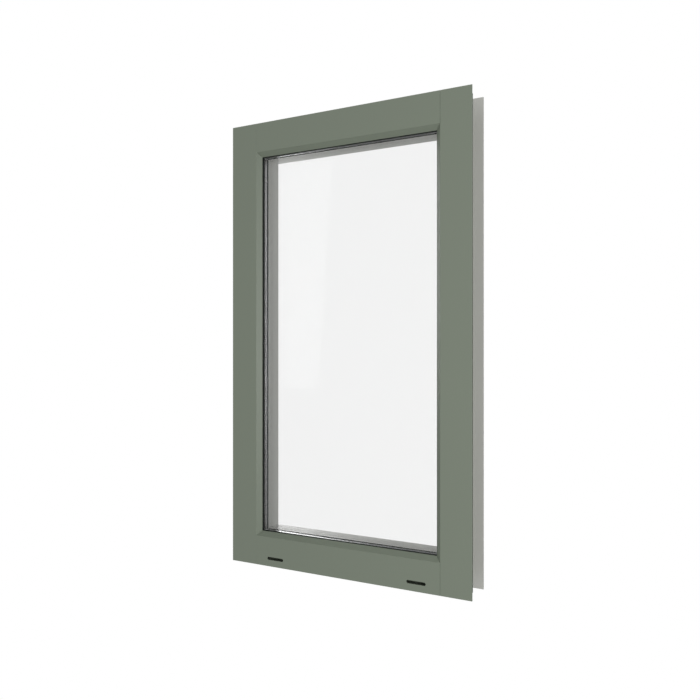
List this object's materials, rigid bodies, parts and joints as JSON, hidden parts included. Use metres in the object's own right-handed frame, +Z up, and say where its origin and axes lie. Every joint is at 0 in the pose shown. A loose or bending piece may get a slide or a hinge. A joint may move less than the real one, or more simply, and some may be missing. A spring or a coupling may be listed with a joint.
{
  "type": "casement window",
  "caption": "Side-hung casement window: two-leaf framed pane with bevelled surround, concealed inward-opening sash, hinges, lever handle and sliding locks.",
  "frame": {"origin": "middle of the bottom edge of the frame, at the exterior face", "axes": "+Z up, +Y from the exterior face into the room, +X to the right as seen from outside"},
  "size_m": [0.6, 0.13, 1.05],
  "materials": {
    "exterior_coat": "satin powder coat, sage green",
    "interior_coat": "satin powder coat, light grey",
    "polyamide": "matt glass-filled polyamide, black",
    "gasket_rubber": "matt extruded rubber, black",
    "clear_glass": "clear float glass",
    "spacer_metal": "bright rolled spacer bar",
    "edge_sealant": "matt sealant, black",
    "block_plastic": "moulded plastic",
    "bush_plastic": "moulded nylon, black",
    "mill_aluminium": "mill finish",
    "hinge_coat": "satin powder coat, light grey",
    "handle_metal": "satin anodised",
    "bright_steel": "bright",
    "plated_steel": "zinc plated"
  },
  "bodies": {
    "frame": {"frame_outer_stile_left": "exterior_coat", "frame_outer_stile_right": "exterior_coat", "frame_outer_head": "exterior_coat", "frame_outer_sill": "exterior_coat", "thermal_break_left": "polyamide", "thermal_break_right": "polyamide", "thermal_break_head": "polyamide", "thermal_break_sill": "polyamide", "frame_inner_stile_left": "interior_coat", "frame_inner_stile_right": "interior_coat", "frame_inner_head": "interior_coat", "frame_inner_sill": "interior_coat", "frame_outer_corner_blocks": "mill_aluminium", "frame_inner_corner_blocks": "mill_aluminium", "exterior_gasket": "gasket_rubber", "centre_gasket": "gasket_rubber", "keepers": "plated_steel", "keeper_screws": "bright_steel", "hinge_frame_leaves": "hinge_coat", "hinge_frame_screws": "bright_steel", "hinge_pins": "bright_steel"},
    "sash": {"sash_front_left": "exterior_coat", "sash_front_right": "exterior_coat", "sash_front_top": "exterior_coat", "sash_front_bottom": "exterior_coat", "sash_isolator_left": "polyamide", "sash_isolator_right": "polyamide", "sash_isolator_top": "polyamide", "sash_isolator_bottom": "polyamide", "sash_stile_hinge": "interior_coat", "sash_stile_lock": "interior_coat", "sash_rail_top": "interior_coat", "sash_rail_bottom": "interior_coat", "sash_corner_cleats": "mill_aluminium", "glass_pane_outer": "clear_glass", "glass_pane_inner": "clear_glass", "glass_spacer": "spacer_metal", "glass_edge_seal": "edge_sealant", "setting_blocks": "block_plastic", "glass_edge_gasket": "gasket_rubber", "bead_gasket": "gasket_rubber", "bead_left": "interior_coat", "bead_right": "interior_coat", "bead_top": "interior_coat", "bead_bottom": "interior_coat", "overlap_gasket": "gasket_rubber", "hinge_sash_leaves": "hinge_coat", "hinge_sash_screws": "bright_steel", "hinge_bushes": "bush_plastic", "handle_base": "handle_metal", "handle_base_screws": "bright_steel"},
    "handle": {"handle_lever": "handle_metal", "handle_spindle": "plated_steel", "handle_pinion": "plated_steel"},
    "upper_drive": {"upper_rack": "plated_steel", "upper_drive_rod": "plated_steel", "upper_locking_cams": "bright_steel"},
    "lower_drive": {"lower_rack": "plated_steel", "lower_drive_rod": "plated_steel", "lower_locking_cams": "bright_steel"}
  },
  "joints": [
    {"name": "sash_swing", "type": "hinge", "parent": "frame", "child": "sash", "pos_m": [-0.277, 0.095, 0.525], "axis": [0, 0, 1], "range_deg": [0, 90]},
    {"name": "handle_turn", "type": "hinge", "parent": "sash", "child": "handle", "pos_m": [0.254, 0.1, 0.525], "axis": [0, 1, 0], "range_deg": [-180, 0]},
    {"name": "upper_drive_slide", "type": "slide", "parent": "sash", "child": "upper_drive", "axis": [0, 0, 1], "range_m": [0, 0.02514]},
    {"name": "lower_drive_slide", "type": "slide", "parent": "sash", "child": "lower_drive", "axis": [0, 0, 1], "range_m": [-0.02514, 0]}
  ],
  "couplings": [
    {"joint": "upper_drive_slide", "follows": "handle_turn", "m_per_rad": -0.008},
    {"joint": "lower_drive_slide", "follows": "handle_turn", "m_per_rad": 0.008}
  ]
}
